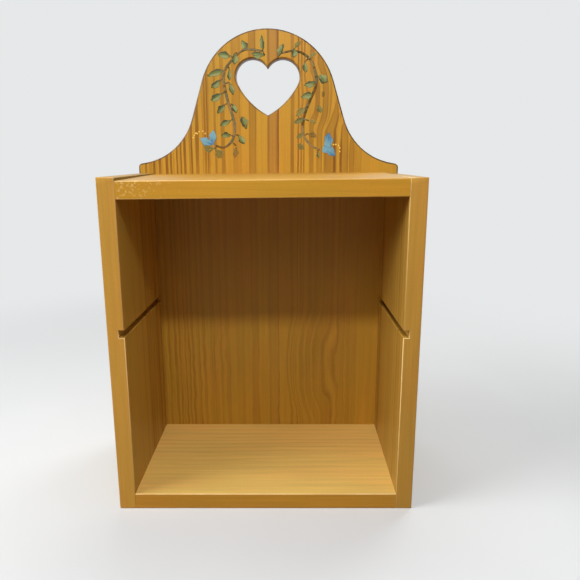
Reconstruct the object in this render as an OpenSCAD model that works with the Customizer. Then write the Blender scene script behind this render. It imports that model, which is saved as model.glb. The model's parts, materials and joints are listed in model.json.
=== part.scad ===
// Open-fronted wall box of five nailed pine boards.
// The back board rises above the box as an arch with a heart cut through it.
// Millimetres, +Z up, open front towards -Y, origin under the middle of the box.

/* [Boards] */
// Outer width across both sides
box_w = 228.6; // [190:0.1:300]
// Height of the two sides
box_h = 255.5; // [210:0.5:320]
// Depth of the sides, from the front edge to the back board
side_depth = 119; // [90:0.5:160]
// Thickness of each side
side_t = 12.7; // [10:0.1:20]
// Thickness of the top board
top_t = 12.7; // [9:0.1:20]
// Thickness of the bottom board
bottom_t = 12.7; // [9:0.1:20]
// Thickness of the back board
back_t = 12.7; // [9:0.1:20]

/* [Top board] */
// Drop of the top board's left end below the left side's top
left_drop = 2.5; // [0:0.1:6]
// Drop of the top board's right end below the right side's top
right_drop = 0.6; // [0:0.1:6]

/* [Shelf grooves] */
// Height of the grooves' middle at the front edge
groove_z = 143; // [110:0.5:160]
// Height of each groove
groove_h = 5.6; // [3:0.1:10]
// Depth of each groove into its side
groove_depth = 4.2; // [2:0.1:5]
// Fall of each groove from the front edge to the back board
groove_fall = 3; // [0:0.1:8]

/* [Arch] */
// Height of the crown above the sides
arch_rise = 117.5; // [112:0.5:150]
// Radius of the round crown
arch_r = 59; // [54:0.5:66]
// Lean of the neck below the crown, in degrees from upright
neck_lean = 17; // [10:0.5:25]
// Radius of the hollow sweep from neck to shoulder
sweep_r = 53.5; // [20:0.5:60]
// Slope of the shoulder, in degrees from level
shoulder_slope = 9.5; // [6:0.1:24]
// Height of the shoulder's square end above the sides
shoulder_h = 6.4; // [2:0.1:12]

/* [Heart] */
// Height of the heart's tip above the sides
heart_tip_rise = 47.5; // [40:0.5:52]
// Height of the lobes' centres above the tip
heart_lobe_rise = 31.9; // [26:0.1:36]
// Distance of each lobe's centre from the middle
heart_lobe_x = 12.9; // [8:0.1:13.5]
// Radius of each lobe
heart_lobe_r = 14.4; // [14:0.1:18]
// Radius of the long arc from lobe to tip
heart_side_r = 60; // [50:1:300]

/* [Nails] */
// Length of a nail with its head
nail_len = 32; // [26:0.5:40]
// Diameter of the shank
nail_d = 1.8; // [1.2:0.1:2.6]
// Diameter of the head
nail_head_d = 3.6; // [3:0.1:5]
// Thickness of the head
nail_head_t = 0.9; // [0.5:0.1:1.5]
// Length of the point
nail_point = 3; // [1:0.1:6]
// Play around a nail in its hole
nail_play = 0.1; // [0.05:0.05:0.3]
// Distance between the two nails in one end of the top or bottom board
end_nail_pitch = 76; // [40:1:80]
// Nails down each edge of the back board
back_edge_nails = 4; // [2:1:6]
// Distance of the edge row's first and last nail from the side's ends
back_edge_inset = 26; // [22:1:60]
// Nails across the back board, into the top and into the bottom
back_cross_nails = 3; // [2:1:5]
// Distance of the cross row's first and last nail from the sides
back_cross_inset = 48; // [45:1:80]

/* [Hidden] */
// Overshoot of a cut past the face that it opens through
cut_over = 1;
round_fn = 96;
long_arc_fn = 360;
small_fn = 32;

depth = side_depth + back_t;
front_y = -depth / 2;
back_y = depth / 2;
back_face_y = back_y - back_t;
inner_w = box_w - 2 * side_t;
groove_slope = atan2(groove_fall, side_depth);
groove_run = norm([side_depth, groove_fall]);

// Heights of the top board's upper face at its two ends
left_top_z = box_h - left_drop;
right_top_z = box_h - right_drop;
// Mid height of the top board's thickness at a distance x from the middle
function top_mid_z(x) =
    left_top_z + (right_top_z - left_top_z) * (x / inner_w + 0.5) - top_t / 2;

// Evenly spaced places, from -run / 2 to run / 2
function row(count, run) =
    let (last = round(count) - 1)
    [for (i = [0:last]) -run / 2 + run * i / last];

end_nail_ys = [for (y = row(2, end_nail_pitch)) front_y + side_depth / 2 + y];
back_edge_zs = [for (z = row(back_edge_nails, box_h - 2 * back_edge_inset)) box_h / 2 + z];
back_cross_xs = row(back_cross_nails, inner_w - 2 * back_cross_inset);

// Right half of the arch: crown, tangent neck, hollow sweep, shoulder
crown = [0, box_h + arch_rise - arch_r];
neck_out = [cos(neck_lean), sin(neck_lean)];
neck_down = [sin(neck_lean), -cos(neck_lean)];
neck_top = crown + arch_r * neck_out;
shoulder_end = [box_w / 2, box_h + shoulder_h];
shoulder_in = [-cos(shoulder_slope), sin(shoulder_slope)];
function cross2(a, b) = a.x * b.y - a.y * b.x;
neck_run = cross2(shoulder_end - neck_top, shoulder_in) / cross2(neck_down, shoulder_in);
neck_corner = neck_top + neck_run * neck_down;
// The sweep is no larger than the neck and the shoulder leave room for
sweep_tan = tan((90 - neck_lean - shoulder_slope) / 2);
shoulder_run = norm(shoulder_end - neck_corner);
sweep_fit_r = min(sweep_r, min(neck_run, shoulder_run) / sweep_tan);
sweep_reach = sweep_fit_r * sweep_tan;
sweep_start = neck_corner - sweep_reach * neck_down;
sweep_end = neck_corner - sweep_reach * shoulder_in;
sweep_centre = sweep_start + sweep_fit_r * neck_out;

// Right half of the heart: lobe, and a long arc that meets it smoothly and runs to the tip
heart_tip = [0, box_h + heart_tip_rise];
heart_lobe = heart_tip + [heart_lobe_x, heart_lobe_rise];
lobe_dist = norm(heart_lobe - heart_tip);
lobe_dir = (heart_lobe - heart_tip) / lobe_dist;
arc_to_lobe = heart_side_r - heart_lobe_r;
arc_along = (pow(heart_side_r, 2) - pow(arc_to_lobe, 2) + pow(lobe_dist, 2)) / (2 * lobe_dist);
arc_across = sqrt(pow(heart_side_r, 2) - pow(arc_along, 2));
arc_centre = heart_tip + arc_along * lobe_dir + arc_across * [-lobe_dir.y, lobe_dir.x];
arc_out = (heart_lobe - arc_centre) / arc_to_lobe;
arc_past = heart_lobe + 2 * heart_lobe_r * arc_out;

pine = "#c8963c";
pine_dark = "#b5822f";
pine_light = "#d3a257";
steel = "#5b5650";

// One nail, head at the origin and point along +Z
module nail() {
    cylinder(h = nail_head_t, d = nail_head_d, $fn = small_fn);
    cylinder(h = nail_len - nail_point, d = nail_d, $fn = small_fn);
    translate([0, 0, nail_len - nail_point])
        cylinder(h = nail_point, d1 = nail_d, d2 = nail_d / 4, $fn = small_fn);
}

// The hole that one nail fills
module nail_hole() {
    translate([0, 0, -cut_over])
        cylinder(h = cut_over + nail_head_t + nail_play, d = nail_head_d + 2 * nail_play, $fn = small_fn);
    cylinder(h = nail_len + nail_play, d = nail_d + 2 * nail_play, $fn = small_fn);
}

// Places of the two nails in a board's end: hand is -1 for the left side, 1 for the right
module at_end_nails(hand, z) {
    for (y = end_nail_ys)
        translate([hand * box_w / 2, y, z])
            rotate([0, -90 * hand, 0])
                children();
}

// Places of the nails down one edge of the back board
module at_back_edge_nails(hand) {
    for (z = back_edge_zs)
        translate([hand * (box_w - side_t) / 2, back_y, z])
            rotate([90, 0, 0])
                children();
}

// Places of the nails across the back board, into the top board
module at_back_top_nails() {
    for (x = back_cross_xs)
        translate([x, back_y, top_mid_z(x)])
            rotate([90, 0, 0])
                children();
}

// Places of the nails across the back board, into the bottom board
module at_back_bottom_nails() {
    for (x = back_cross_xs)
        translate([x, back_y, bottom_t / 2])
            rotate([90, 0, 0])
                children();
}

// Places of the nails in one end of the top board
module at_top_end_nails(hand) {
    at_end_nails(hand, top_mid_z(hand * inner_w / 2)) children();
}

// Places of the nails in one end of the bottom board
module at_bottom_end_nails(hand) {
    at_end_nails(hand, bottom_t / 2) children();
}

// The same point on the left of the middle
function left(p) = [-p.x, p.y];

// Flat outline of the heart: two lobes over the lens between the two long arcs
module heart_outline() {
    for (lobe = [heart_lobe, left(heart_lobe)])
        translate(lobe)
            circle(r = heart_lobe_r, $fn = round_fn);
    intersection() {
        translate(arc_centre)
            circle(r = heart_side_r, $fn = long_arc_fn);
        translate(left(arc_centre))
            circle(r = heart_side_r, $fn = long_arc_fn);
        polygon([
            [-arc_past.x, heart_tip.y - cut_over],
            [arc_past.x, heart_tip.y - cut_over],
            arc_past,
            heart_lobe,
            left(heart_lobe),
            left(arc_past)
        ]);
    }
}

// Flat outline of the back board: crown, necks, hollow sweeps, shoulders and the heart cut out
module back_outline() {
    right_edge = [[box_w / 2, 0], shoulder_end, sweep_end, sweep_start, neck_top];
    left_edge = [for (i = [len(right_edge) - 1:-1:0]) left(right_edge[i])];
    difference() {
        union() {
            polygon(concat(right_edge, left_edge));
            translate(crown)
                circle(r = arch_r, $fn = round_fn);
        }
        for (hollow = [sweep_centre, left(sweep_centre)])
            translate(hollow)
                circle(r = sweep_fit_r, $fn = round_fn);
        heart_outline();
    }
}

module back_board() {
    color(pine)
        difference() {
            translate([0, back_y, 0])
                rotate([90, 0, 0])
                    linear_extrude(back_t)
                        back_outline();
            at_back_edge_nails(-1) nail_hole();
            at_back_edge_nails(1) nail_hole();
            at_back_top_nails() nail_hole();
            at_back_bottom_nails() nail_hole();
        }
}

module side(hand) {
    color(pine_dark)
        difference() {
            translate([hand * (box_w - side_t) / 2 - side_t / 2, front_y, 0])
                cube([side_t, side_depth, box_h]);
            translate([hand * inner_w / 2 - groove_depth, front_y, groove_z - groove_h / 2])
                rotate([-groove_slope, 0, 0])
                    translate([0, -cut_over, 0])
                        cube([2 * groove_depth, groove_run + 2 * cut_over, groove_h]);
            at_top_end_nails(hand) nail_hole();
            at_bottom_end_nails(hand) nail_hole();
            at_back_edge_nails(hand) nail_hole();
        }
}

module left_side() {
    side(-1);
}

module right_side() {
    side(1);
}

module top_board() {
    color(pine_light)
        difference() {
            translate([0, back_face_y, 0])
                rotate([90, 0, 0])
                    linear_extrude(side_depth)
                        polygon([
                            [-inner_w / 2, left_top_z - top_t],
                            [inner_w / 2, right_top_z - top_t],
                            [inner_w / 2, right_top_z],
                            [-inner_w / 2, left_top_z]
                        ]);
            at_top_end_nails(-1) nail_hole();
            at_top_end_nails(1) nail_hole();
            at_back_top_nails() nail_hole();
        }
}

module bottom_board() {
    color(pine_light)
        difference() {
            translate([-inner_w / 2, front_y, 0])
                cube([inner_w, side_depth, bottom_t]);
            at_bottom_end_nails(-1) nail_hole();
            at_bottom_end_nails(1) nail_hole();
            at_back_bottom_nails() nail_hole();
        }
}

module left_top_nails() {
    color(steel) at_top_end_nails(-1) nail();
}

module left_bottom_nails() {
    color(steel) at_bottom_end_nails(-1) nail();
}

module right_top_nails() {
    color(steel) at_top_end_nails(1) nail();
}

module right_bottom_nails() {
    color(steel) at_bottom_end_nails(1) nail();
}

module back_left_nails() {
    color(steel) at_back_edge_nails(-1) nail();
}

module back_right_nails() {
    color(steel) at_back_edge_nails(1) nail();
}

module back_top_nails() {
    color(steel) at_back_top_nails() nail();
}

module back_bottom_nails() {
    color(steel) at_back_bottom_nails() nail();
}

back_board();
left_side();
right_side();
top_board();
bottom_board();
left_top_nails();
left_bottom_nails();
right_top_nails();
right_bottom_nails();
back_left_nails();
back_right_nails();
back_top_nails();
back_bottom_nails();
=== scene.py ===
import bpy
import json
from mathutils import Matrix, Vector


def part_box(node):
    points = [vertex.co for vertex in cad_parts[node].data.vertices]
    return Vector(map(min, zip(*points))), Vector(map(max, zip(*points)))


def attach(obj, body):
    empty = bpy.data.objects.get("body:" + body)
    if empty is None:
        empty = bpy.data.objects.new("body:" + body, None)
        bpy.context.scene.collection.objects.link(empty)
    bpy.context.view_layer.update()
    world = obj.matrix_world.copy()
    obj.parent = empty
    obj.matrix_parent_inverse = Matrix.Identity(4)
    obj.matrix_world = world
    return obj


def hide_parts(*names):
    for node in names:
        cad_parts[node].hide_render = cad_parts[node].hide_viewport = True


bl_info = {
    "name": "Painted Pine Wall Box",
    "version": (1, 0, 0),
    "blender": (4, 5, 0),
    "location": "View3D > Sidebar > Wall Box",
    "description": "Gives a pine wall box its lacquered boards, its painted vines and a studio",
    "category": "Object",
}

import json
import math
from typing import NamedTuple

import bmesh
import bpy
from mathutils import Matrix, Vector

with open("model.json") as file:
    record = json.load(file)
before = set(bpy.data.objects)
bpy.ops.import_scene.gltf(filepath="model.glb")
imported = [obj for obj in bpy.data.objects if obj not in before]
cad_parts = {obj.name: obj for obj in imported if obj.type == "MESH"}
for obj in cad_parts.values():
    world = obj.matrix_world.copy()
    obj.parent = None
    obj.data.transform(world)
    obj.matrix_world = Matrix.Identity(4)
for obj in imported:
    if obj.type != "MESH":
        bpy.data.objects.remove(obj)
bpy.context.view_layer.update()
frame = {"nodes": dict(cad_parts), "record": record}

MM = 0.001
BODY = "root"

# Places taken from the frame
X, Y, Z = 0, 1, 2
BACK_LOW, BACK_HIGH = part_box("back_board")
SIDE_LOW, SIDE_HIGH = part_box("left_side")
TOP_LOW, TOP_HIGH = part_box("top_board")
BOTTOM_LOW, BOTTOM_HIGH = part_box("bottom_board")
NAIL_NODES = sorted(name for name in frame["nodes"] if name.endswith("_nails"))
MOUNTS = {mount["name"]: mount for mount in frame["record"]["mounts"]}
GROOVE_RISE = MOUNTS["shelf_grooves"]["pos_m"][Z]

# Stretches of a board, from where to where something comes in (mm)
ALL_OVER = (-2000, -1000)
NOWHERE = (1000, 2000)


class Band(NamedTuple):
    """One ring seen flat, in mm."""

    across: float
    width: float
    strength: float
    top: float = None  # where along the board it closes in a point, if it does


class Swell(NamedTuple):
    """Where the rings bulge round a branch, in mm."""

    across: float
    along: float
    width: float
    length: float
    push: float  # how far it pushes the rings


class Timber(NamedTuple):
    """How a board was cut, in mm."""

    along: int  # the axes along, across and through the grain
    across: int
    through: int
    heart: tuple  # where the heart of the tree lay, across and through
    pitch: float  # between the rings near the heart
    seed: int  # sets the board apart from the others
    lean: tuple = (0, 0)  # how far the heart drifts for each mm along
    tighten: float = 0  # how the rings tighten away from the heart
    start: float = 0.2  # where the first ring starts, as a share of the pitch
    wander: float = 6  # how much the grain wanders
    late: float = 0.5  # the strength of the late wood
    rings: tuple = ALL_OVER  # the stretch across over which the rings come in
    fresh: tuple = ALL_OVER  # the stretch along over which the grain turns fresh,
    curl: tuple = NOWHERE  # turns curly,
    painted_shade: tuple = NOWHERE  # is darkened by painted shade,
    scuffs: tuple = NOWHERE  # or has its front edge scuffed
    bands: tuple = ()
    swells: tuple = ()


TIMBERS = {
    "back_board": Timber(
        Z, X, Y, heart=(4.1, 26), pitch=4.9, seed=3, start=0.17, wander=2.5, rings=(-35, -43),
        fresh=(225, 262), curl=(150, 100), painted_shade=(262, 225),
        bands=(Band(-108.3, 1.8, 0.7), Band(-104.8, 1.4, 0.4), Band(-100.8, 2.4, 0.85),
               Band(-95.5, 2.4, 0.9), Band(-89.3, 2.4, 0.9), Band(-85.4, 1.8, 0.9),
               Band(-80.1, 1.5, 0.9), Band(-76.6, 1.5, 0.9), Band(-73.2, 2.2, 0.85),
               Band(-68.6, 1.6, 0.4), Band(-66.9, 1.5, 0.85), Band(-62, 3, 0.75), Band(-55, 2, 0.65),
               Band(-52.8, 1.4, 0.75), Band(-46, 2, 0.55), Band(-39.5, 3.5, 0.5), Band(-27.5, 7.5, 0.4),
               Band(-13.6, 6.5, 0.7), Band(4.1, 9.5, 0.85), Band(8.6, 1.3, 1.0), Band(21.2, 3, 0.6),
               Band(26.3, 1.3, 0.8), Band(29, 1.4, 0.6), Band(31.5, 1.3, 0.6), Band(38, 4, 0.55),
               Band(45, 5, 0.65), Band(54.5, 11, 0.72, 317), Band(58, 2, 0.95, 306),
               Band(66.5, 8, 0.65, 306), Band(64, 1.6, 0.9, 292), Band(73.5, 4.5, 0.7, 295),
               Band(79, 6, 0.4)),
        swells=(Swell(38, 75, 30, 60, 9), Swell(52, 318, 26, 30, -5))),
    "left_side": Timber(
        Z, Y, X, heart=(-35, -132), pitch=9, seed=11, lean=(0.02, 0.02), late=0.6, rings=(-20, 10),
        painted_shade=(150, 30),
        bands=(Band(5, 13, 0.55), Band(1, 2.4, 0.8), Band(35, 7, 0.75), Band(37, 2.4, 0.9),
               Band(50, 5, 0.85), Band(-15, 4, 0.3), Band(-33, 2, 0.3), Band(16, 2, 0.5),
               Band(27, 2, 0.6))),
    "right_side": Timber(
        Z, Y, X, heart=(45, 130), pitch=9, seed=23, lean=(0.02, -0.02), rings=(0, -30),
        painted_shade=(150, 30),
        bands=(Band(-46, 6, 0.5), Band(-43, 2, 0.9), Band(-52, 2, 0.5), Band(-14, 14, 0.3),
               Band(-4, 2, 0.45), Band(39, 10, 0.6), Band(40, 2, 0.9), Band(52, 6, 0.5))),
    "top_board": Timber(
        X, Y, Z, heart=(20, 205), pitch=6.5, seed=37, lean=(0.02, 0.004), tighten=0.008, wander=8,
        late=0.16, scuffs=(-35, -92)),
    "bottom_board": Timber(
        X, Y, Z, heart=(-250, -60), pitch=6.6, seed=53, wander=7, late=0.36, rings=(-48, -10)),
}


def colour(name, text, red, green, blue):
    """A colour property, written as the colour is seen."""
    return bpy.props.FloatVectorProperty(
        name=name, description=text, default=(red / 255, green / 255, blue / 255), subtype="COLOR_GAMMA")


def size(name, text, length):
    """A length property, written in mm."""
    return bpy.props.FloatProperty(name=name, description=text, default=length * MM, unit="LENGTH")


class BoardFinish(bpy.types.PropertyGroup):
    """Sizes and colours of the lacquered pine boards."""

    arris: size("Arris", "How far a board's arrises are eased", 0.65)
    outline: size("Outline", "How far the back board's outline and heart are eased", 1.2)
    corner: size("Corner", "How far the corners of the back board's shoulders are rounded", 2.6)
    fall: size("Fall", "How far the upper ends of the sides fall towards the back", 1.7)
    back_early: colour("Back, early wood", "Golden early wood of the back board", 200, 150, 48)
    back_late: colour("Back, late wood", "Amber late wood of the back board", 122, 75, 16)
    back_heart: colour("Back, heart wood", "Rosy band at the heart of the tree", 163, 111, 50)
    # Bare sawn wood, darkened further as painted shade for the heart's cut, whose upper faces look down
    back_sawn: colour("Back, sawn edge", "Brown edge of the arch and of the heart", 112, 78, 34)
    side_early: colour("Sides, early wood", "Honey early wood of the sides", 199, 157, 66)
    side_late: colour("Sides, late wood", "Late wood of the sides", 150, 105, 35)
    side_sawn: colour("Sides, front edge", "Amber front edge of the sides", 203, 151, 61)
    # The top's face is painted greyer than its front edge, as painted sheen
    top_early: colour("Top, early wood", "Golden early wood of the top", 191, 146, 58)
    top_late: colour("Top, late wood", "Late wood of the top", 160, 113, 39)
    top_sawn: colour("Top, front edge", "Golden front edge of the top", 206, 150, 41)
    # The bottom's face is painted much paler than its front edge, as painted sheen on the floor of the
    # box
    bottom_early: colour("Bottom, early wood", "Straw early wood of the bottom", 240, 200, 110)
    bottom_late: colour("Bottom, late wood", "Late wood of the bottom", 202, 160, 78)
    bottom_sawn: colour("Bottom, front edge", "Amber front edge of the bottom", 206, 143, 36)
    worn: colour("Worn", "Wood where the lacquer is rubbed off", 246, 208, 140)
    stained: colour("Stained", "Dark line along the sawn outline", 66, 42, 17)


class VinePaint(bpy.types.PropertyGroup):
    """Sizes and colours of the painted vines and blossoms."""

    rise: size("Rise", "How far the paint stands off the board", 0.16)
    bed: size("Bed", "How far the paint is bedded in the board's grain", 0.1)
    stem_width: size("Stem width", "Width of a stem's brush stroke", 2.5)
    stalk_width: size("Stalk width", "Width of a leaf stalk's brush stroke", 1.3)
    stalk_reach: size("Stalk reach", "How far from the stem a leaf still has a stalk", 7.0)
    dot_width: size("Dot width", "Width of a yellow dot", 1.5)
    stem: colour("Stem", "Olive brown of the stems", 90, 80, 32)
    stem_pale: colour("Pale stem", "Stem whose paint is thin", 146, 108, 46)
    leaf_dark: colour("Leaf shade", "Dark side of a leaf", 52, 60, 22)
    leaf_mid: colour("Leaf", "Sage green of a leaf", 104, 114, 48)
    leaf_light: colour("Leaf light", "Light side of a leaf", 152, 162, 102)
    leaf_faded: colour("Faded leaf", "Pale olive of a leaf whose green has faded", 182, 164, 84)
    leaf_dry: colour("Dry leaf", "Brown of a leaf whose green has gone", 134, 98, 46)
    petal_deep: colour("Petal shade", "Deep blue of a petal", 68, 120, 162)
    petal_pale: colour("Petal light", "Pale blue of a petal", 120, 173, 192)
    pollen: colour("Pollen", "Yellow dots beside a blossom", 250, 212, 100)
    pollen_deep: colour("Pollen shade", "Deeper yellow of some dots", 226, 170, 66)


class NailFinish(bpy.types.PropertyGroup):
    """Colours of the nails."""

    steel: colour("Steel", "Dull darkened steel", 87, 82, 77)
    rust: colour("Rust", "Rust on a nail's head", 92, 54, 28)


class Studio(bpy.types.PropertyGroup):
    """The floor, the light and the camera."""

    paper: colour("Paper", "Pale paper of the floor and backdrop", 230, 232, 233)
    bounce: colour("Bounce", "Light that the floor throws back at the box", 118, 97, 76)
    shade_reach: size("Shade reach", "How far from the box its shadow shows on the paper", 250)
    glow_reach: size("Glow reach", "How far from the box the paper is evenly bright", 800)
    fill: bpy.props.FloatProperty(
        name="Fill light", description="Soft light from all round", default=0.035, min=0)
    lens: bpy.props.FloatProperty(
        name="Lens", description="Focal length on a 36 mm frame", default=36.017,
        subtype="DISTANCE_CAMERA")
    camera_place: bpy.props.FloatVectorProperty(
        name="Camera place", description="Where the camera stands", default=(0.0190, -0.4693, 0.2725),
        subtype="TRANSLATION", unit="LENGTH")
    camera_pitch: bpy.props.FloatProperty(
        name="Camera pitch", description="How far the camera looks down", default=math.radians(13.415),
        subtype="ANGLE")


class Wire:
    """A shader socket that takes part in Python expressions."""

    def __init__(self, tree, socket):
        self.tree = tree
        self.socket = socket

    def node(self, kind, settings=(), inputs=(), output=0):
        """Add any node: its type, its settings, then the values or links of its sockets."""
        new = self.tree.nodes.new(kind)
        for key, value in dict(settings).items():
            setattr(new, key, value)
        for key, value in dict(inputs).items():
            if isinstance(value, Wire):
                self.tree.links.new(value.socket, new.inputs[key])
            else:
                new.inputs[key].default_value = value
        return Wire(self.tree, new.outputs[output])

    def calc(self, operation, *terms):
        return self.node("ShaderNodeMath", {"operation": operation}, enumerate(terms))

    def __add__(self, other):
        return self.calc("ADD", self, other)

    __radd__ = __add__

    def __sub__(self, other):
        return self.calc("SUBTRACT", self, other)

    def __rsub__(self, other):
        return self.calc("SUBTRACT", other, self)

    def __mul__(self, other):
        return self.calc("MULTIPLY", self, other)

    __rmul__ = __mul__

    def __truediv__(self, other):
        return self.calc("DIVIDE", self, other)

    def __rtruediv__(self, other):
        return self.calc("DIVIDE", other, self)

    def __abs__(self):
        return self.calc("ABSOLUTE", self)

    def root(self):
        return self.calc("SQRT", self)

    def most(self, other):
        return self.calc("MAXIMUM", self, other)

    def whole(self):
        return self.calc("FLOOR", self)

    def part(self):
        return self.calc("FRACT", self)

    def step(self, low, high):
        """A smooth step from 0 at low to 1 at high."""
        inputs = {"Value": self, "From Min": low, "From Max": high}
        return self.node("ShaderNodeMapRange", {"interpolation_type": "SMOOTHSTEP"}, inputs)

    def blend(self, first, second):
        """A colour between first and second, with this value as the share of the second."""
        return self.node("ShaderNodeMix", {"data_type": "RGBA"}, {0: self, 6: first, 7: second}, 2)

    def scaled(self, factor):
        """This colour or vector times a value."""
        return self.node("ShaderNodeVectorMath", {"operation": "SCALE"}, {0: self, "Scale": factor})

    def tinted(self, red, green, blue):
        """This colour with each channel times its own value."""
        inputs = {0: self, 1: (red, green, blue)}
        return self.node("ShaderNodeVectorMath", {"operation": "MULTIPLY"}, inputs)

    def joined(self, x, y, z):
        return self.node("ShaderNodeCombineXYZ", (), enumerate((x, y, z)))

    def split(self):
        """The three parts of this vector."""
        parts = self.node("ShaderNodeSeparateXYZ", (), {0: self}).socket.node.outputs
        return [Wire(self.tree, part) for part in parts]

    def noise(self, detail=2.0, rough=0.5):
        """Noise from 0 to 1 at this vector."""
        inputs = {"Vector": self, "Scale": 1.0, "Detail": detail, "Roughness": rough}
        return self.node("ShaderNodeTexNoise", (), inputs)

    def chance(self):
        """One random value for each whole number."""
        return self.node("ShaderNodeTexWhiteNoise", {"noise_dimensions": "1D"}, {"W": self})

    def attribute(self, name):
        """The value of the mesh's own attribute."""
        return self.node("ShaderNodeAttribute", {"attribute_name": name}, (), 2)

    def bump(self, strength, distance):
        """A normal from this height."""
        inputs = {"Height": self, "Strength": strength, "Distance": distance}
        return self.node("ShaderNodeBump", (), inputs)


def linear(seen):
    """A shader colour from a colour as it is seen."""
    def channel(c):
        return c / 12.92 if c <= 0.04045 else ((c + 0.055) / 1.055) ** 2.4
    return tuple(channel(c) for c in seen) + (1.0,)


def new_material(name):
    """A material with one principled shader, its shader node and a wire to start from."""
    material = bpy.data.materials.new(name)
    material.use_nodes = True
    tree = material.node_tree
    shader = tree.nodes["Principled BSDF"]
    start = tree.nodes.new("ShaderNodeTexCoord")
    return material, shader, Wire(tree, start.outputs["Object"])


def plug(shader, **sockets):
    """Set the shader's sockets: a wire is linked, and a plain value is set on the socket."""
    for name, value in sockets.items():
        socket = shader.inputs[name.replace("_", " ")]
        if isinstance(value, Wire):
            value.tree.links.new(value.socket, socket)
        else:
            socket.default_value = value


# Noise that is drawn out along the grain: how fine it is across and along, a shift that sets it apart,
# and its detail and roughness where they aren't the usual ones
WANDER = (0.012, 0.005, 0.0)
WOBBLE = (0.09, 0.013, 7.0)
RIPPLE = (0.15, 0.05, 11.0)
PATCHES = (0.06, 0.02, 13.0, 3.0)
FIBRES = (0.9, 0.02, 19.0, 3.0, 0.6)
STREAKS = (0.35, 0.008, 23.0)
CLOUDS = (0.03, 0.012, 31.0)
BLUSHES = (0.05, 0.015, 37.0)
# How far the grain strays (mm)
WOBBLE_REACH = 2.4
RIPPLE_REACH = 1.9
CURLY_REACH = 6.0
# Where late wood comes and goes: from one ring to the next, and from the middle of a band to its rim
RING_RAMP, RING_RAMP_END = (0.15, 0.80), (0.93, 1.0)
RING_LINE, RING_LINE_END = (0.62, 0.82), (0.92, 1.0)
BAND_MIDDLE, BAND_RIM = (0.4, 0.9), (0.8, 1.15)
# A band wider than this (mm) is paler in its middle, and one with a point closes over this length
WIDE_BAND = 4
BAND_POINT = 15
# How much of the late wood shows everywhere, where the grain is fresh and where it is curly
LATE_SHOWN, LATE_FRESH, LATE_CURLY = 0.25, 0.75, 0.2
# How far from the heart of the tree its colour goes (mm)
HEART_BAND = (1.5, 6)
# How much the painted shade darkens the wood
PAINTED_SHADE_DEPTH = 0.14
SAWN_COVER = 0.9
BLUSH_TINT = (1.06, 0.96, 1.0)


class Grain:
    """The grain of one board, in mm along, across and through it."""

    def __init__(self, place, timber):
        axes = place.scaled(1 / MM).split()
        self.place = place
        self.timber = timber
        self.along = axes[timber.along]
        self.across = axes[timber.across]
        self.through = axes[timber.through]

    def noise(self, fine, slow, shift, *texture):
        """Noise from 0 to 1 that is drawn out along the grain."""
        across = self.across * fine + self.timber.seed + shift
        return self.place.joined(across, self.through * fine + shift, self.along * slow).noise(*texture)

    def late_wood(self):
        """How much of a point is late wood, and how far the grain strays there (mm)."""
        timber, along, across = self.timber, self.along, self.across
        curly = along.step(*timber.curl)
        wander = (self.noise(*WANDER) - 0.5) * timber.wander * 2
        wobble = (self.noise(*WOBBLE) - 0.5) * WOBBLE_REACH
        ripple = (self.noise(*RIPPLE) - 0.5) * (curly * CURLY_REACH + RIPPLE_REACH)
        beside = across - timber.heart[0] - along * timber.lean[0] + wander + wobble + ripple
        behind = self.through - timber.heart[1] - along * timber.lean[1] + wander * 0.3
        radius = (beside * beside + behind * behind).root()
        shown = across.step(*timber.rings)
        drift = wander * 0.4 + wobble * 0.6 + ripple * 0.5
        for swell in timber.swells:
            aside = (across - swell.across) / swell.width
            away = (along - swell.along) / swell.length
            bulge = 1 - (aside * aside + away * away).step(0, 1)
            radius = radius + bulge * swell.push
            drift = drift + bulge * swell.push
            shown = shown.most(bulge)
        late = self.ring_lines(radius) * shown * timber.late
        for band in timber.bands:
            late = late.most(self.band_face(band, drift))
        patchy = self.noise(*PATCHES).step(0.30, 0.62) * 0.35 + 0.65
        clear = along.step(*timber.fresh) * LATE_FRESH + curly * LATE_CURLY + LATE_SHOWN
        return late * patchy * clear, drift

    def ring_lines(self, radius):
        """The late wood of the rings, which comes slowly, ends in a line and differs between rings."""
        rings = radius * (radius * self.timber.tighten + 1) / self.timber.pitch + self.timber.start
        phase = rings.part()
        ramp = phase.step(*RING_RAMP) * (1 - phase.step(*RING_RAMP_END))
        line = phase.step(*RING_LINE) * (1 - phase.step(*RING_LINE_END))
        strength = (rings.whole() + self.timber.seed).chance() * 0.5 + 0.5
        return (ramp * 0.3 + line * 0.7) * strength

    def band_face(self, band, drift):
        """The late wood of one band."""
        offset = abs(self.across - band.across + drift) * (2 / band.width)
        if band.top:
            spread = self.along.step(band.top, band.top - BAND_POINT - 2 * band.width).root()
            offset = offset / (spread * 0.97 + 0.03)
        hollow = 0.35 if band.width > WIDE_BAND else 0.0
        flat = (1 - offset.step(*BAND_RIM)) * (offset.step(*BAND_MIDDLE) * hollow + 1 - hollow)
        return flat * band.strength


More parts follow.
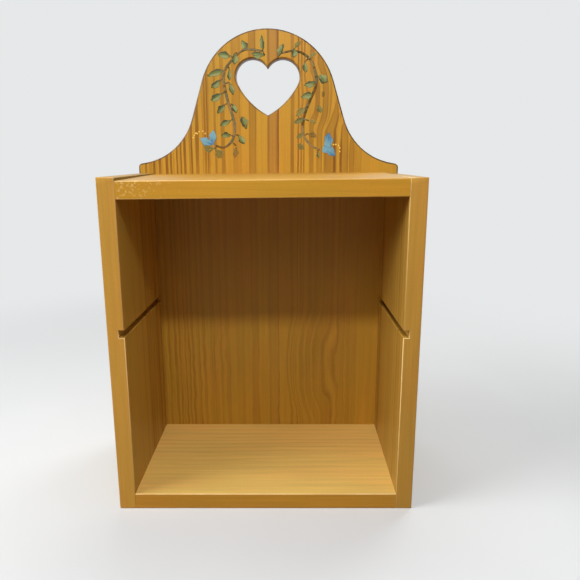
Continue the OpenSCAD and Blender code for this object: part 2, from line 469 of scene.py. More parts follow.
def pine(name, timber, shades):
    """Lacquered pine: early and late wood, painted light and shade, fibres, sawn edges, scuffs and worn
    arrises.
    """
    early_shade, late_shade, heart_shade, sawn_shade, arris_shade = (linear(shade) for shade in shades)
    material, shader, place = new_material(name)
    grain = Grain(place, timber)
    late, drift = grain.late_wood()
    near_heart = 1 - abs(grain.across - timber.heart[0] + drift).step(*HEART_BAND)
    tint = late.blend(early_shade, near_heart.blend(late_shade, heart_shade))
    # Painted shade: darker on the back inside the box below the top, and on the sides towards their foot
    tint = tint.scaled(1 - grain.along.step(*timber.painted_shade) * PAINTED_SHADE_DEPTH)

    sawn = place.attribute("sawn")
    tint = (sawn * SAWN_COVER).blend(tint, sawn_shade)
    fibre = grain.noise(*FIBRES) - 0.5
    streak = grain.noise(*STREAKS) - 0.5
    cloud = grain.noise(*CLOUDS) - 0.5
    speck = place.scaled(0.7 / MM).noise(3.0, 0.7) - 0.5
    # tone: painted light and shade from the board's maker, and darker end grain
    tone = place.attribute("tone")
    tint = tint.scaled(1 + tone + fibre * 0.25 + streak * 0.22 + cloud * 0.20 + speck * 0.15)
    blush = grain.noise(*BLUSHES).step(0.42, 0.68)
    tint = (blush * 0.6).blend(tint, tint.tinted(*BLUSH_TINT))
    scrape = place.scaled(0.45 / MM).noise(4.0, 0.7)
    scuff = (scrape + grain.along.step(*timber.scuffs) * sawn * 0.16).step(0.70, 0.76)
    tint = (scuff * 0.55).blend(tint, arris_shade)

    arris = place.attribute("arris")
    rub = place.scaled(0.06 / MM).noise(3.0).step(0.30, 0.60)
    tint = (arris * (rub * 0.4 + 0.6)).blend(tint, arris_shade)

    height = fibre * 0.6 - late * 0.5
    plug(
        shader,
        Base_Color=tint,
        Roughness=0.42 + fibre * 0.12 + late * 0.06,
        Normal=height.bump(0.25, 0.3 * MM),
        Specular_IOR_Level=0.28,
        Coat_Weight=0.06,
        Coat_Roughness=0.3,
    )
    return material


def brushed(place):
    """Where a point lies along and across its brush stroke, and the marks of the bristles."""
    length, width, _ = place.node("ShaderNodeUVMap", {"uv_map": "stroke"}).split()
    x, _, z = place.scaled(1 / MM).split()
    bristle = place.joined(length * 2 + x * 0.1, width * 5, z * 0.1).noise(3.0)
    return length, width, bristle


def painted_stem(paint):
    """Stem paint: olive brown that thins in places."""
    material, shader, place = new_material("stem_paint")
    streak = place.scaled(0.35 / MM).noise(3.0)
    tint = streak.step(0.44, 0.60).blend(linear(paint.stem), linear(paint.stem_pale))
    plug(
        shader,
        Base_Color=tint,
        Roughness=0.5 + streak * 0.1,
        Alpha=0.95 - streak.step(0.45, 0.75) * 0.3,
        Normal=streak.bump(0.2, 0.1 * MM),
    )
    return material


def painted_leaf(paint):
    """Leaf paint: dark along one side, light along the other, thin at its rim and on a faded leaf."""
    material, shader, place = new_material("leaf_paint")
    _, width, bristle = brushed(place)
    rim = place.attribute("rim")
    fade = place.attribute("fade")
    tone = width + (bristle - 0.5) * 1.1 + rim.step(0.1, 0.9) * 0.3 - 0.22
    tint = tone.step(0.26, 0.46).blend(linear(paint.leaf_dark), linear(paint.leaf_mid))
    tint = tone.step(0.52, 0.76).blend(tint, linear(paint.leaf_light))
    tint = (fade.step(0.3, 0.75) * 0.9).blend(tint, linear(paint.leaf_faded))
    tint = (fade.step(0.85, 1.0) * 0.8).blend(tint, linear(paint.leaf_dry))
    cover = (rim + (bristle - 0.5) * 1.2).step(-0.05, 0.40)
    plug(
        shader,
        Base_Color=tint,
        Roughness=0.5 + bristle * 0.1,
        Alpha=cover * (0.96 - fade * (0.45 + bristle * 0.5)),
        Normal=bristle.bump(0.25, 0.1 * MM),
    )
    return material


def painted_petal(paint):
    """Petal paint: pale towards the tip, deep towards the throat, in long strokes."""
    material, shader, place = new_material("petal_paint")
    length, _, bristle = brushed(place)
    pale = (length * 0.5 + bristle - 0.25).step(0.20, 0.70)
    tint = pale.blend(linear(paint.petal_deep), linear(paint.petal_pale))
    cover = (place.attribute("rim") + (bristle - 0.5) * 1.0).step(-0.05, 0.45)
    plug(
        shader,
        Base_Color=tint,
        Roughness=0.48 + bristle * 0.1,
        Alpha=cover,
        Normal=bristle.bump(0.25, 0.1 * MM),
    )
    return material


def painted_dot(paint):
    """Dot paint: a yellow that varies from dot to dot."""
    material, shader, place = new_material("pollen_paint")
    patch = place.scaled(0.4 / MM).noise(2.0)
    tint = patch.step(0.35, 0.7).blend(linear(paint.pollen), linear(paint.pollen_deep))
    plug(shader, Base_Color=tint, Roughness=0.45 + patch * 0.1)
    return material


def nail_steel(finish):
    """Dull steel with rust in patches."""
    material, shader, place = new_material("nail_steel")
    patch = place.scaled(0.9 / MM).noise(4.0, 0.6)
    rust = patch.step(0.42, 0.62)
    plug(
        shader,
        Base_Color=rust.blend(linear(finish.steel), linear(finish.rust)),
        Metallic=0.9 - rust * 0.8,
        Roughness=0.45 + rust * 0.35,
        Normal=patch.bump(0.3, 0.1 * MM),
    )
    return material


def in_sight(start):
    """1 for a ray that shows the background: to the camera, in a gloss or through glass."""
    rays = start.node("ShaderNodeLightPath").socket.node.outputs
    seen = [Wire(start.tree, rays[f"Is {ray} Ray"]) for ray in ("Camera", "Glossy", "Transmission")]
    return sum(seen).step(0, 1)


def stage_paper(studio):
    """Pale paper that keeps the box's shadow, is even further off, and throws little light back."""
    material, shader, place = new_material("stage_paper")
    tree = material.node_tree
    mottle = place.scaled(0.01 / MM).noise(2.0)
    paper = linear(studio.paper)
    dim = tuple(c * 0.96 for c in paper[:3]) + (1.0,)
    seen = in_sight(place)
    tint = seen.blend(linear(studio.bounce), mottle.blend(paper, dim))
    plug(shader, Base_Color=tint, Roughness=0.9, Specular_IOR_Level=0.1)
    distance = place.node("ShaderNodeVectorMath", {"operation": "LENGTH"}, {0: place}, "Value")
    far = distance.step(studio.shade_reach, studio.glow_reach)
    glow = place.node("ShaderNodeEmission", (), {"Color": paper, "Strength": 1.0})
    paper_shader = Wire(tree, shader.outputs[0])
    mixed = place.node("ShaderNodeMixShader", (), {0: seen * far, 1: paper_shader, 2: glow})
    tree.links.new(mixed.socket, tree.nodes["Material Output"].inputs["Surface"])
    material.cycles.emission_sampling = "NONE"
    return material


def new_object(name, bm, material):
    """Make an object of a finished bmesh, at the origin."""
    mesh = bpy.data.meshes.new(name)
    bm.to_mesh(mesh)
    bm.free()
    mesh.materials.append(material)
    made = bpy.data.objects.new(name, mesh)
    bpy.context.scene.collection.objects.link(made)
    return made


def new_piece(name, bm, material):
    """Make a piece of the box that rides on the body."""
    piece = new_object(name, bm, material)
    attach(piece, BODY)
    return piece


# Limits for easing the boards
MERGE = 1e-6
TOUCH = 0.1 * MM
FLAT = math.radians(1)
SHARP = math.radians(50)
SHORTEST_ARRIS = 0.5 * MM
SMALL_FACE = 200 * MM * MM
ARRIS_STEPS = 3
CORNER_STEPS = 4
# How much of a face's normal lies along an axis if it looks that way, and if it is square to the axis
FACING = 0.5
SQUARE = 0.99
# The same for an edge that runs along the axis, and for paint that faces away from its board
RUNNING = 0.9
CRESTED = 0.3
# How near to an edge, a groove, the heart or the crown a place belongs to it
REACH = 2 * MM
GROOVE_REACH = 5 * MM
GROOVE_START = 0.5 * MM  # how far behind the inner face a groove's own faces start
HEART_REACH = 30 * MM
CROWN_REACH = 12 * MM


def in_plane(edge, axis, place):
    """True where both ends of an edge lie at a place along an axis."""
    return all(abs(v.co[axis] - place) < TOUCH for v in edge.verts)


def drawn_out(bm, face):
    """Extrude a face, and return the new one."""
    grown = bmesh.ops.extrude_face_region(bm, geom=[face])["geom"]
    return next(item for item in grown if isinstance(item, bmesh.types.BMFace))


def rounded(bm, edges, reach, steps):
    """Round edges off, and return the new faces."""
    made = bmesh.ops.bevel(
        bm, geom=edges, offset=reach, offset_type="OFFSET", affect="EDGES", segments=steps, profile=0.5,
        material=-1, clamp_overlap=False)
    return made["faces"]


def eased_board(node, finish, maker):
    """A copy of a board eased, worn and toned (painted light and shade, darker end grain) as its maker
    says.
    """
    bm = bmesh.new()
    bm.from_mesh(frame["nodes"][node].data)
    bmesh.ops.remove_doubles(bm, verts=bm.verts, dist=MERGE)
    bmesh.ops.dissolve_limit(bm, angle_limit=FLAT, verts=bm.verts, edges=bm.edges)
    maker.trim(bm, finish)
    arrises = [
        edge for edge in bm.edges
        if edge.is_convex
        and edge.calc_face_angle(0) > SHARP
        and edge.calc_length() > SHORTEST_ARRIS
        and not maker.left_sharp(edge)
    ]
    if not arrises:
        raise RuntimeError(f"{node} has no arris to ease")
    worn = bm.loops.layers.float.new("arris")
    for face in rounded(bm, arrises, getattr(finish, maker.easing), ARRIS_STEPS):
        for loop in face.loops:
            loop[worn] = maker.wear(loop.vert.co)
    if maker.seam:
        whole = [*bm.verts, *bm.edges, *bm.faces]
        bmesh.ops.bisect_plane(bm, geom=whole, plane_co=(0, 0, maker.seam), plane_no=(0, 0, 1))
    broad = TIMBERS[node].through
    cut = bm.faces.layers.float.new("sawn")
    tone = bm.loops.layers.float.new("tone")
    for face in bm.faces:
        face[cut] = maker.sawn(face)
        for loop in face.loops:
            loop[tone] = maker.tone(face, loop.vert.co)
        face.smooth = face.calc_area() < SMALL_FACE and abs(face.normal[broad]) < SQUARE
    return bm


def add_board(board, maker, node=None, heart="late", arris="worn"):
    """Ease, finish and place one board, with the colours of its settings."""
    finish = bpy.context.scene.board_finish
    names = [f"{board}_{part}" for part in ("early", "late", heart, "sawn")]
    shades = [getattr(finish, name) for name in (*names, arris)]
    node = node or f"{board}_board"
    bm = eased_board(node, finish, maker)
    piece = new_piece(f"{node}_finished", bm, pine(f"{node}_pine", TIMBERS[node], shades))
    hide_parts(node)


class BoardMaker:
    """What a maker says about its boards: where to part their faces, how to ease and finish them."""

    seam = None
    easing = "arris"

    def trim(self, bm, finish):
        """Shape the board before its arrises are eased."""

    def left_sharp(self, edge):
        """True for an edge that is not eased."""
        return False

    def sawn(self, face):
        """How much of a face has the colour of a sawn edge: here, a front edge."""
        return 1.0 if face.normal.y < -FACING else 0.0

    def tone(self, face, place):
        """How much lighter a face is at a place, or darker if below zero."""
        return 0.0


# How stained the outline of the back board is, and how much of a sawn edge's colour it has
STAIN, LESS_STAIN = 0.95, 0.5
OUTLINE_SAWN = 0.3


class MakeBackBoard(BoardMaker, bpy.types.Operator):
    """The arched board with the heart cut through it"""

    bl_idname = "wall_box.back_board"
    bl_label = "Back board"

    easing = "outline"

    def execute(self, context):
        add_board("back", self, heart="heart", arris="stained")
        return {"FINISHED"}

    def trim(self, bm, finish):
        """Round the two outer corners of the shoulders."""
        corners = [
            edge for edge in bm.edges
            if all(abs(v.co.x) > BACK_HIGH.x - MERGE and v.co.z > SIDE_HIGH.z for v in edge.verts)
        ]
        if len(corners) != 2:
            raise RuntimeError(f"the back board has {len(corners)} shoulder corners")
        rounded(bm, corners, finish.corner, CORNER_STEPS)

    def beside_heart(self, place):
        """True for a place at the cut of the heart."""
        return abs(place.x) < HEART_REACH and SIDE_HIGH.z < place.z < BACK_HIGH.z - CROWN_REACH

    def wear(self, place):
        """The sawn outline is stained round the arch, and less in the heart and beside the box."""
        return LESS_STAIN if self.beside_heart(place) or place.z < SIDE_HIGH.z else STAIN

    def sawn(self, face):
        """The cut of the heart is bare wood darkened as painted shade, and the outline has less of its
        colour.
        """
        if abs(face.normal.y) > FACING:
            return 0.0
        return 1.0 if self.beside_heart(face.calc_center_median()) else OUTLINE_SAWN


# How worn a side's arrises are: below and above its groove, at the groove's two lips, and elsewhere
LEFT_WEAR, RIGHT_WEAR = (0.1, 0.5), (0.45, 0.9)
LIP_WEAR = (0.9, 0.4)
LEAST_WEAR = 0.05
# How much lighter or darker the parts of a side are: painted light and shade, and darker end grain
# Painted light on the right groove's lower lip, falling off into painted shade deeper in and further
# back
LIP_PAINTED_LIGHT, LIP_FALL = 0.35, 0.9
# Painted shade in the grooves
GROOVE_PAINTED_SHADE = -0.1
# Painted shade, with some grime, on the left side where it stands above the top
JOINT_SHADE_AND_GRIME = -0.6
# Painted light that grows towards the foot of the left front edge
FOOT_PAINTED_LIGHT = 0.2
END_TONE = -0.25


class MakeSides(BoardMaker, bpy.types.Operator):
    """The two upright sides with their grooves"""

    bl_idname = "wall_box.sides"
    bl_label = "Sides"

    seam = SIDE_HIGH.z - 2 * REACH

    def execute(self, context):
        for node in ("left_side", "right_side"):
            add_board("side", self, node)
        return {"FINISHED"}

    def trim(self, bm, finish):
        """Let the upper end fall towards the back."""
        for vert in bm.verts:
            if vert.co.z > SIDE_HIGH.z - MERGE and vert.co.y > SIDE_HIGH.y - MERGE:
                vert.co.z -= finish.fall

    def depth(self, place):
        """How far a place lies from the inner face of its side."""
        return abs(place.x) + SIDE_HIGH.x

    def left_sharp(self, edge):
        """The edges against the back are left sharp, and so are those that run along a groove."""
        along = (edge.verts[1].co - edge.verts[0].co).normalized()
        in_groove = all(abs(v.co.z - GROOVE_RISE) < 2 * GROOVE_REACH for v in edge.verts)
        return in_plane(edge, Y, SIDE_HIGH.y) or in_groove and abs(along.y) > RUNNING

    def wear(self, place):
        """The inner front arrises are rubbed by what goes in and out, most of all on the right."""
        above = place.z > GROOVE_RISE
        if place.y > SIDE_LOW.y + REACH:
            return LEAST_WEAR
        if abs(place.z - GROOVE_RISE) < GROOVE_REACH and self.depth(place) < GROOVE_REACH:
            return LIP_WEAR[above]
        if self.depth(place) > REACH:
            return LEAST_WEAR
        return (LEFT_WEAR if place.x < 0 else RIGHT_WEAR)[above]

    def tone(self, face, place):
        """Painted shade in the grooves and in the gap of left and top, darker ends, and painted light on
        the right lip and the left foot.
        """
        middle = face.calc_center_median()
        # Painted light on the right groove's lower lip, and painted shade in the grooves
        if GROOVE_START < self.depth(middle) < GROOVE_REACH and abs(face.normal.y) < FACING:
            inward = (place.y - SIDE_LOW.y) / (SIDE_HIGH.y - SIDE_LOW.y)
            fall = self.depth(place) / GROOVE_REACH * (LIP_FALL + inward)
            return LIP_PAINTED_LIGHT - fall if middle.x > 0 and face.normal.z > FACING else GROOVE_PAINTED_SHADE
        # Painted shade, with some grime, where the left side stands above the top
        if middle.z > self.seam and face.normal.x > FACING and middle.x < 0:
            return JOINT_SHADE_AND_GRIME
        # Painted light towards the foot of the left front edge
        if middle.x < 0 and face.normal.y < -FACING:
            return FOOT_PAINTED_LIGHT * (1 - place.z / SIDE_HIGH.z)
        at_end = middle.z < SIDE_LOW.z + REACH or middle.z > SIDE_HIGH.z - REACH
        return END_TONE if at_end and abs(face.normal.z) > FACING else 0.0


# How worn the front arrises are: the top's upper one, the bottom's upper one, and the lower ones
TOP_WEAR, BOTTOM_WEAR, LOWER_WEAR = 0.6, 0.9, 0.3


class MakeLevelBoards(BoardMaker, bpy.types.Operator):
    """The top and the bottom, between the sides"""

    bl_idname = "wall_box.level_boards"
    bl_label = "Top and bottom"

    def execute(self, context):
        for board in ("top", "bottom"):
            add_board(board, self)
        return {"FINISHED"}

    def left_sharp(self, edge):
        """The edges against the sides and the back are left sharp."""
        joints = ((X, BOTTOM_LOW.x), (X, BOTTOM_HIGH.x), (Y, BOTTOM_HIGH.y))
        return any(in_plane(edge, axis, place) for axis, place in joints)

    def wear(self, place):
        """The upper front arris is rubbed pale on the bottom, and on the top only to the left."""
        if place.z > TOP_HIGH.z - 3 * REACH:
            return TOP_WEAR if place.x < 0 else 0.0
        return BOTTOM_WEAR if BOTTOM_HIGH.z - REACH < place.z < TOP_LOW.z - REACH else LOWER_WEAR


class FinishNails(bpy.types.Operator):
    """Steel for the nails, whose shape is already right"""

    bl_idname = "wall_box.nails"
    bl_label = "Nails"

    def execute(self, context):
        steel = nail_steel(context.scene.nail_finish)
        for name in NAIL_NODES:
            nails = frame["nodes"][name]
            if not nails.material_slots:
                raise RuntimeError(f"{name} has no material slot")
            for slot in nails.material_slots:
                slot.material = steel
        return {"FINISHED"}


# The painted vines, in mm: to the right of the middle, and up from the foot of the arch
PAINT_FOOT = SIDE_HIGH.z - 0.5 * MM
STEMS = {
    "left": [(-4, 100), (-19, 101), (-30, 93), (-37, 83), (-37, 72), (-34, 58), (-30, 45), (-29, 35),
             (-32, 26), (-39, 21), (-47, 23)],
    "right": [(10, 98), (21, 100), (30, 98), (37, 92), (41, 81), (41, 72), (36, 60), (32, 50), (30, 40),
              (31, 31), (37, 23), (45, 19)],
}


class Leaf(NamedTuple):
    """One brush stroke, in mm: a leaf, or a petal of a blossom."""

    x: float  # where it starts
    rise: float
    heading: float  # degrees from the right
    length: float
    width: float
    fade: float = 0.0


LEAVES = {
    "left": [
        Leaf(-17, 101.5, 124, 8.5, 5.5), Leaf(-4, 100, 94, 13, 4, 0.3),
        Leaf(-2.5, 96.5, 173, 11, 6, 0.1), Leaf(-31, 96, 172, 11.5, 6),
        Leaf(-27, 99, 262, 10, 5.5, 0.1), Leaf(-37, 85, 198, 15.5, 5.5),
        Leaf(-40, 77, 218, 11, 5.5, 0.2), Leaf(-32.5, 86, 269, 10, 3.5, 0.1),
        Leaf(-33, 75, 289, 11, 4.5, 0.1), Leaf(-39, 66, 210, 12, 6, 0.1),
        Leaf(-37, 57, 227, 10.5, 5.5, 0.3), Leaf(-31, 57.5, 297, 9, 5),
        Leaf(-32, 44, 205, 11, 5, 0.1), Leaf(-23, 47.5, 291, 12, 6.5, 0.35),
        Leaf(-32, 31.5, 180, 9, 5, 0.3), Leaf(-26, 31.5, 304, 9.5, 5.5),
        Leaf(-47, 19.5, 170, 10.5, 7, 0.75), Leaf(-46, 20, 300, 10, 8, 0.8),
        Leaf(-28, 22.5, 262, 11, 5, 0.95),
    ],
    "right": [
        Leaf(9, 95.5, 67, 11.5, 5, 0.2), Leaf(22.5, 102, 270, 7.5, 5.5, 0.1),
        Leaf(22.5, 102, 47, 8, 4, 0.6), Leaf(34.5, 94.5, 31, 8.5, 4, 0.8),
        Leaf(31, 91, 280, 8.5, 4.5, 0.1), Leaf(43, 80, 329, 9.5, 7.5),
        Leaf(41, 75, 194, 10.5, 5.5, 0.2), Leaf(39, 65.5, 193, 11, 6),
        Leaf(43, 56.5, 292, 7, 5, 0.5), Leaf(32, 54.5, 222, 11, 6, 0.6),
        Leaf(31.5, 45.5, 202, 10, 5, 0.5), Leaf(35.5, 43.5, 343, 6.5, 4.5, 0.85),
        Leaf(31, 33, 212, 8, 4.5, 0.6), Leaf(34.5, 33, 338, 8.5, 5.5, 1.0),
        Leaf(25, 24, 324, 8, 6, 0.8), Leaf(43, 18, 281, 6.5, 3, 0.4),
        Leaf(47.5, 68.5, 266, 6, 2.5, 1.0),
    ],
}
PETALS = {
    "left": [Leaf(-49, 23.5, 82, 12.5, 6.5), Leaf(-46.5, 23.5, 160, 14, 6.5)],
    "right": [Leaf(58.5, 13, 125, 13, 7), Leaf(56, 22, 203, 10, 7.5), Leaf(52.5, 34, 266, 15, 8)],
}
# Where yellow dots spray out from each blossom
DOTS = {
    "left": [(-65, 29.3), (-64.2, 31.2), (-62.8, 33), (-61.7, 32.6), (-60, 34.2), (-56.8, 34.7),
             (-54.6, 32.8)],
    "right": [(57, 23.5), (59, 23.5), (61.5, 22.5), (62.5, 20.5), (62.5, 17.5)],
}
# A stem: how many points from one place to the next, its sides, and its width at the tips
STEM_STEPS = 6
STEM_SIDES = 8
STEM_TIP = 0.6
# A leaf nearer to its stem than this (mm) has no stalk, and a stalk is drawn over a point this far along
SHORTEST_STALK = 1
STALK_BEND = 0.6


def brush_frame(x, rise, heading):
    """Stroke axes at a place on the painted face: along the heading, across it, and out of the board."""
    turn = math.radians(heading)
    along = Vector((math.cos(turn), 0, math.sin(turn)))
    out = Vector((0, -1, 0))
    axes = Matrix((along, out.cross(along), out)).transposed().to_4x4()
    return Matrix.Translation((x * MM, BACK_LOW.y, PAINT_FOOT + rise * MM)) @ axes


def smooth_path(points, steps):
    """Points along a smooth line through the given ones."""
    ends = [2 * points[0] - points[1]] + points + [2 * points[-1] - points[-2]]
    path = []
    for a, b, c, d in zip(ends, ends[1:], ends[2:], ends[3:]):
        for step in range(steps):
            t = step / steps
            path.append(0.5 * (2 * b + (c - a) * t + (2 * a - 5 * b + 4 * c - d) * t * t
                               + (3 * b - a - 3 * c + d) * t * t * t))
    return path + [points[-1]]


def paint_stem(bm, path, width, rise):
    """Draw one flat brush stroke along a path."""
    tip = bmesh.ops.create_circle(bm, cap_ends=True, segments=STEM_SIDES, radius=0.5)
    face = tip["verts"][0].link_faces[0]
    upright = Matrix.Rotation(math.radians(90), 4, "Y") @ Matrix.Rotation(math.radians(90), 4, "Z")
    bmesh.ops.transform(bm, matrix=upright, verts=face.verts)
    last = Matrix.Identity(4)
    for index, point in enumerate(path):
        before = path[max(index - 1, 0)]
        after = path[min(index + 1, len(path) - 1)]
        heading = math.degrees(math.atan2(after.y - before.y, after.x - before.x))
        taper = STEM_TIP + (1 - STEM_TIP) * math.sin(math.pi * (index + 1) / (len(path) + 1))
        here = brush_frame(point.x, point.y, heading) @ Matrix.Diagonal((1, width * taper, 2 * rise, 1))
        if index:
            face = drawn_out(bm, face)
        bmesh.ops.transform(bm, matrix=here @ last.inverted(), verts=face.verts)
        last = here


STROKE_SIDES = 28
STROKE_BEND = 0.18
# How high the coarse and the fine waves of its ragged rim are
STROKE_COARSE, STROKE_FINE = 0.15, 0.11
# How far it narrows to its ends, and how far the end of a blunt one swells instead
STROKE_TAPER, STROKE_SWELL = 0.55, 0.9
LEAF_BLUNT, PETAL_BLUNT = 0, 0.7
# The rings of a brush stroke from its rim to its crown: the size against the ring before, how high it
# stands, and how far in from the rim it is
STROKE_RINGS = ((1.0, 0.4, 0.0), (0.82, 0.85, 0.5), (0.5, 1.0, 1.0))


def paint_stroke(bm, leaf, paint, blunt):
    """Press one brush stroke on the board: a low mound from its base to a point, or to a blunt end."""
    disc = bmesh.ops.create_circle(bm, cap_ends=True, segments=STROKE_SIDES, radius=0.5)
    face = disc["verts"][0].link_faces[0]
    for vert in disc["verts"]:
        t = vert.co.x
        turn = math.atan2(vert.co.y, t)
        coarse = STROKE_COARSE * math.sin(3 * turn + leaf.x)
        ragged = coarse + STROKE_FINE * math.sin(7 * turn + leaf.rise)
        swell = STROKE_SWELL * blunt * t
        vert.co.y *= 1 + ragged - (STROKE_TAPER + swell) * (2 * t) ** 2 + swell
        vert.co.y += STROKE_BEND * (0.25 - t * t)
    rim = bm.verts.layers.float["rim"]
    stroke = set(disc["verts"])
    height = 0
    for shrink, share, inward in STROKE_RINGS:
        face = drawn_out(bm, face)
        bmesh.ops.scale(bm, vec=(shrink, shrink, 1), verts=face.verts)
        lift = paint.bed + paint.rise * share - height
        bmesh.ops.translate(bm, vec=(0, 0, lift), verts=face.verts)
        height += lift
        for vert in face.verts:
            vert[rim] = inward
        stroke.update(face.verts)
    lay_uv = bm.loops.layers.uv["stroke"]
    fade = bm.verts.layers.float["fade"]
    for vert in stroke:
        vert[fade] = leaf.fade
        for loop in vert.link_loops:
            loop[lay_uv].uv = (vert.co.x + 0.5, vert.co.y + 0.5)
    spread = Matrix.Diagonal((leaf.length * MM, leaf.width * MM, 1, 1))
    bedded = Matrix.Translation((0.5, 0, -paint.bed))
    place = brush_frame(leaf.x, leaf.rise, leaf.heading) @ spread @ bedded
    bmesh.ops.transform(bm, matrix=place, verts=list(stroke))


def outward(bm):
    """Turn every face outwards, and shade smooth what faces away from the board."""
    bmesh.ops.recalc_face_normals(bm, faces=bm.faces)
    for face in bm.faces:
        face.smooth = face.normal.y < -CRESTED
    return bm


def painted_strokes(leaves, paint, blunt):
    """A bmesh of brush strokes, each with its UVs, its fade and how far in from its rim a point is."""
    bm = bmesh.new()
    bm.loops.layers.uv.new("stroke")
    bm.verts.layers.float.new("fade")
    bm.verts.layers.float.new("rim")
    for leaf in leaves:
        paint_stroke(bm, leaf, paint, blunt)
    return outward(bm)


class PaintVines(bpy.types.Operator):
    """The two painted vines: a stem and its leaves on each side of the heart"""

    bl_idname = "wall_box.vines"
    bl_label = "Vines"

    def execute(self, context):
        paint = context.scene.vine_paint
        stem_paint = painted_stem(paint)
        leaf_paint = painted_leaf(paint)
        for side in STEMS:
            bm = bmesh.new()
            stem = smooth_path([Vector(point) for point in STEMS[side]], STEM_STEPS)
            paint_stem(bm, stem, paint.stem_width, paint.rise)
            for leaf in LEAVES[side]:
                base = Vector((leaf.x, leaf.rise))
                near = min(stem, key=lambda point: (point - base).length)
                if SHORTEST_STALK < (near - base).length < paint.stalk_reach / MM:
                    stalk = [near, near.lerp(base, STALK_BEND), base]
                    paint_stem(bm, stalk, paint.stalk_width, paint.rise)
            new_piece(f"{side}_vine_stem", outward(bm), stem_paint)
            strokes = painted_strokes(LEAVES[side], paint, LEAF_BLUNT)
            new_piece(f"{side}_vine_leaves", strokes, leaf_paint)
        return {"FINISHED"}


class PaintBlossoms(bpy.types.Operator):
    """The blue blossoms at the ends of the vines, with their yellow dots"""

    bl_idname = "wall_box.blossoms"
    bl_label = "Blossoms"

    def execute(self, context):
        paint = context.scene.vine_paint
        petal_paint = painted_petal(paint)
        dot_paint = painted_dot(paint)
        for side in PETALS:
            strokes = painted_strokes(PETALS[side], paint, PETAL_BLUNT)
            new_piece(f"{side}_blossom", strokes, petal_paint)
            bm = bmesh.new()
            for x, rise in DOTS[side]:
                flat = Matrix.Diagonal((paint.dot_width, paint.dot_width, 2 * paint.rise, 1))
                place = brush_frame(x, rise, 0) @ flat
                bmesh.ops.create_icosphere(bm, subdivisions=2, radius=0.5, matrix=place)
            new_piece(f"{side}_blossom_dots", outward(bm), dot_paint)
        return {"FINISHED"}


class SoftBox(NamedTuple):
    """A lamp with a soft face that hangs round the box."""

    name: str
    side: float  # degrees to the right of the front
    height: float  # degrees above the level
    away: float
    width: float
    depth: float
    watts: float


SOFT_BOXES = [
    SoftBox("key_lamp", 0, 46.2, 0.80, 0.060, 0.060, 3.45),
    SoftBox("left_box", -74, 24, 1.2, 0.9, 0.6, 12.0),
    SoftBox("front_box", 0, 30, 1.3, 0.8, 0.6, 1.2),
    SoftBox("high_box", 0, 68, 1.0, 0.8, 0.5, 1.0),
    SoftBox("right_box", 75, 20, 1.2, 0.7, 0.6, 1.4),
    SoftBox("top_box", 180, 65, 1.0, 0.6, 0.6, 3.3),
    SoftBox("rear_box", 140, 20, 1.2, 0.7, 0.6, 5.0),
]
LIT_PLACE = Vector((0, SIDE_LOW.y, TOP_LOW.z))
# The paper sweep (m)
STAGE_HALF = 2.5
COVE_START = 1.1
COVE_ROUND = 0.7
WALL_TOP = 2.6


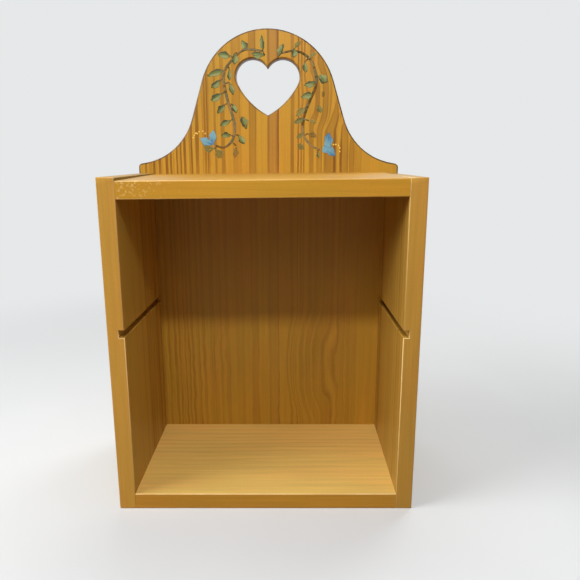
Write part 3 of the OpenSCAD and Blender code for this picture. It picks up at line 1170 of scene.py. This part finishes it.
class SetStage(bpy.types.Operator):
    """The pale paper sweep, the lights and the camera"""

    bl_idname = "wall_box.stage"
    bl_label = "Stage"

    def execute(self, context):
        studio = context.scene.studio
        self.paper_sweep(studio)
        self.lights(context.scene, studio)
        self.camera(context.scene, studio)
        return {"FINISHED"}

    def paper_sweep(self, studio):
        """A floor that curves up into a backdrop."""
        bm = bmesh.new()
        ends = [bm.verts.new((side * STAGE_HALF, -STAGE_HALF, 0)) for side in (-1, 1)]
        edge = bm.edges.new(ends)
        edge = self.pulled(bm, edge, (0, STAGE_HALF + COVE_START, 0))
        turned = bmesh.ops.spin(
            bm, geom=[edge, *edge.verts], cent=(0, COVE_START, COVE_ROUND), axis=(1, 0, 0),
            angle=math.radians(90), steps=24, use_duplicate=False)
        edge = next(item for item in turned["geom_last"] if isinstance(item, bmesh.types.BMEdge))
        self.pulled(bm, edge, (0, 0, WALL_TOP - COVE_ROUND))
        bmesh.ops.recalc_face_normals(bm, faces=bm.faces)
        if bm.faces[:][0].normal.z < 0:
            bmesh.ops.reverse_faces(bm, faces=bm.faces)
        for face in bm.faces:
            face.smooth = True
        sweep = new_object("paper_sweep", bm, stage_paper(studio))

    def pulled(self, bm, edge, way):
        """Extrude an edge and return the new one."""
        grown = bmesh.ops.extrude_edge_only(bm, edges=[edge])["geom"]
        verts = [item for item in grown if isinstance(item, bmesh.types.BMVert)]
        bmesh.ops.translate(bm, vec=way, verts=verts)
        return next(item for item in grown if isinstance(item, bmesh.types.BMEdge))

    def lights(self, scene, studio):
        """A small lamp high in front, soft boxes round the box, and a dim world that looks pale."""
        for box in SOFT_BOXES:
            self.hang(scene, box)
        world = bpy.data.worlds.new("studio")
        world.use_nodes = True
        background = world.node_tree.nodes["Background"]
        seen = in_sight(Wire(world.node_tree, background.outputs[0]))
        dim = (studio.fill, studio.fill, studio.fill, 1.0)
        plug(background, Color=seen.blend(dim, linear(studio.paper)), Strength=1.0)
        scene.world = world
        scene.view_settings.view_transform = "Standard"

    def hang(self, scene, box):
        """Hang one soft box, facing what it lights."""
        lamp = bpy.data.lights.new(box.name, "AREA")
        lamp.shape = "ELLIPSE"
        lamp.size = box.width
        lamp.size_y = box.depth
        lamp.energy = box.watts
        side = math.radians(box.side)
        height = math.radians(box.height)
        level = Vector((math.sin(side), -math.cos(side), 0))
        way = level * math.cos(height) + Vector((0, 0, math.sin(height)))
        hung = bpy.data.objects.new(box.name, lamp)
        hung.location = LIT_PLACE + way * box.away
        hung.rotation_euler = way.to_track_quat("Z", "Y").to_euler()
        hung.visible_camera = False
        scene.collection.objects.link(hung)

    def camera(self, scene, studio):
        """The camera, a little to the right and looking down into the box."""
        lens = bpy.data.cameras.new("camera")
        lens.lens = studio.lens
        lens.sensor_width = 36
        lens.clip_start = 0.01
        camera = bpy.data.objects.new("camera", lens)
        camera.location = studio.camera_place
        camera.rotation_euler = (math.radians(90) - studio.camera_pitch, 0, 0)
        scene.collection.objects.link(camera)
        scene.camera = camera


MAKERS = (MakeBackBoard, MakeSides, MakeLevelBoards, FinishNails, PaintVines, PaintBlossoms, SetStage)
GROUPS = {
    "board_finish": BoardFinish, "vine_paint": VinePaint, "nail_finish": NailFinish, "studio": Studio,
}


class WallBoxPanel(bpy.types.Panel):
    """The makers, in the order in which they run"""

    bl_idname = "VIEW3D_PT_wall_box"
    bl_label = "Wall box"
    bl_space_type = "VIEW_3D"
    bl_region_type = "UI"
    bl_category = "Wall Box"

    def draw(self, context):
        for maker in MAKERS:
            self.layout.operator(maker.bl_idname)
        for name in GROUPS:
            group = getattr(context.scene, name)
            for key in group.__annotations__:
                self.layout.prop(group, key)


CLASSES = (*GROUPS.values(), *MAKERS, WallBoxPanel)


def register():
    for cls in CLASSES:
        bpy.utils.register_class(cls)
    for name, group in GROUPS.items():
        setattr(bpy.types.Scene, name, bpy.props.PointerProperty(type=group))


def unregister():
    for name in GROUPS:
        delattr(bpy.types.Scene, name)
    for cls in reversed(CLASSES):
        bpy.utils.unregister_class(cls)


def main():
    register()
    bpy.ops.wall_box.back_board()
    bpy.ops.wall_box.sides()
    bpy.ops.wall_box.level_boards()
    bpy.ops.wall_box.nails()
    bpy.ops.wall_box.vines()
    bpy.ops.wall_box.blossoms()
    bpy.ops.wall_box.stage()


if __name__ == "__main__":
    main()
